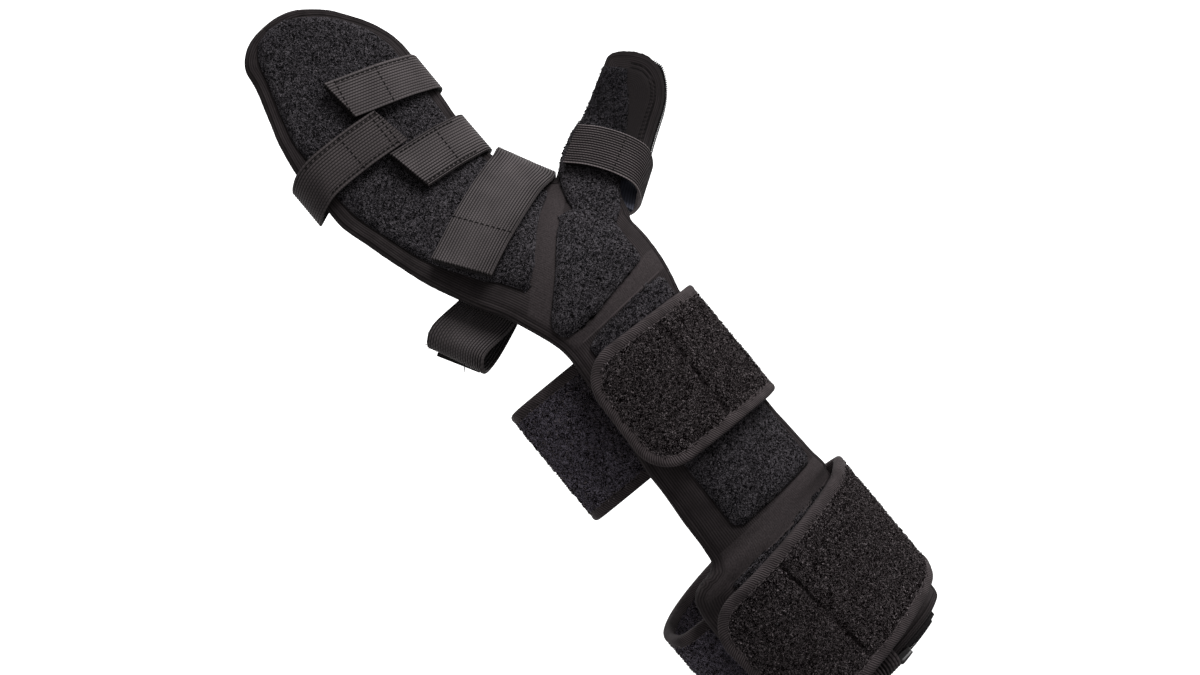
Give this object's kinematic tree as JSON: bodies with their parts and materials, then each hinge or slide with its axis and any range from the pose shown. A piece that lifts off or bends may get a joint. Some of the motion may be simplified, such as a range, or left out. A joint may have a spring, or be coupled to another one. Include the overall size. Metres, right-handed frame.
{
  "type": "resting hand splint",
  "caption": "Padded palm-side splint for the right forearm, hand and thumb, with loop-pile panels, webbing straps on hook tabs and wide bound straps, shown closed.",
  "frame": {"origin": "on the skin side of the lining, at the wrist crease, midway between the sides of the arm that the splint is worn on", "axes": "+X along the forearm to the elbow, +Y to the thumb side, +Z out of the palm side of the board, away from the arm"},
  "size_m": [0.381, 0.1665, 0.0947],
  "materials": {
    "knit": "matt stretch knit",
    "lining": "brushed tricot",
    "pile": "loop pile",
    "velour": "dense loop pile",
    "webbing": "ribbed woven webbing",
    "hook": "moulded hook tape",
    "binding": "ribbed woven binding",
    "zip": "nylon coil",
    "slider": "satin black"
  },
  "bodies": {
    "root": {"board_cover": "knit", "lining": "lining", "thumb_lining": "lining", "finger_panel": "pile", "forearm_panel": "pile", "elbow_panel": "pile", "thumb_panel": "pile", "thumb_strip": "pile", "finger_strap_distal": "webbing", "finger_strap_distal_hook": "hook", "finger_strap_distal_end_hook": "hook", "finger_strap_middle": "webbing", "finger_strap_middle_hook": "hook", "palm_strap": "webbing", "palm_strap_hook": "hook", "palm_strap_tail": "hook", "thumb_strap": "webbing", "thumb_strap_hook": "hook", "wrist_strap": "velour", "wrist_strap_binding": "binding", "wrist_strap_hook": "hook", "forearm_strap": "velour", "forearm_strap_binding": "binding", "forearm_strap_hook": "hook", "elbow_zip": "zip", "zip_slider": "slider", "zip_end_tab": "webbing", "thumb_zip": "zip"}
  },
  "joints": []
}
